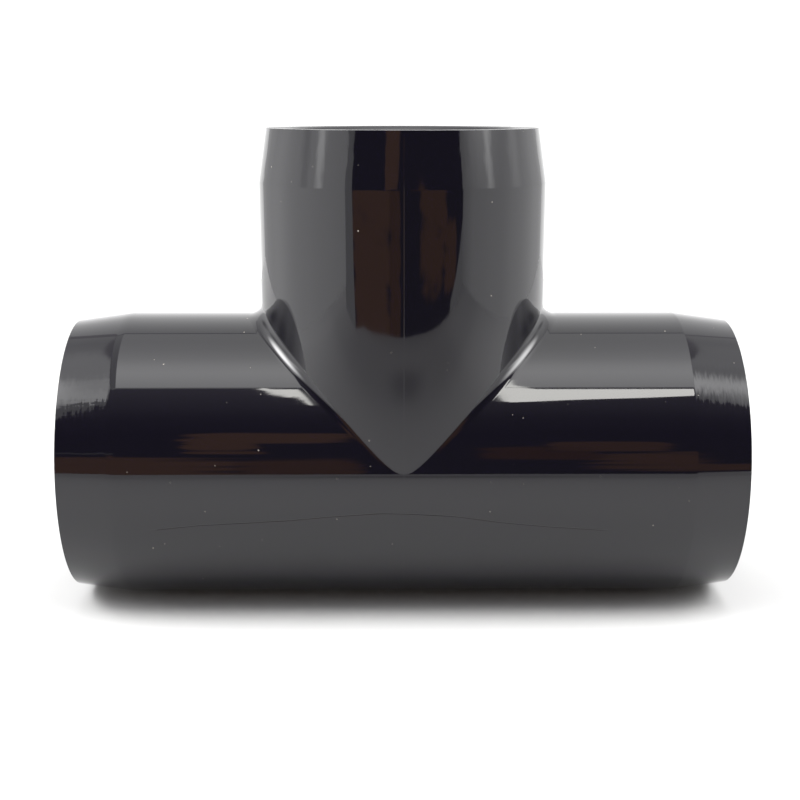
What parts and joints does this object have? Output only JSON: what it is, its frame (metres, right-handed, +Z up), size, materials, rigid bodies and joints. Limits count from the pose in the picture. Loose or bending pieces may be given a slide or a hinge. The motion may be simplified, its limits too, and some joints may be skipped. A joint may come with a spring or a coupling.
{
  "type": "pipe tee",
  "caption": "Slip tee for 3/4 in PVC pipe: a smooth black run with a branch at right angles, a socket with a pipe stop in each arm and a taper at each mouth.",
  "frame": {"origin": "under the crossing of the two axes, on the plane that the run rests on; the run's axis is 17.3 mm above it", "axes": "+X along the run towards right_socket's mouth, +Z up the branch out of its mouth, +Y across the run"},
  "size_m": [0.0794, 0.0346, 0.057],
  "materials": {
    "black_pvc": "moulded black PVC, mirror gloss on the hubs and satin on the end tapers"
  },
  "bodies": {
    "root": {"centre_body": "black_pvc", "left_socket": "black_pvc", "right_socket": "black_pvc", "branch_socket": "black_pvc"}
  },
  "joints": []
}
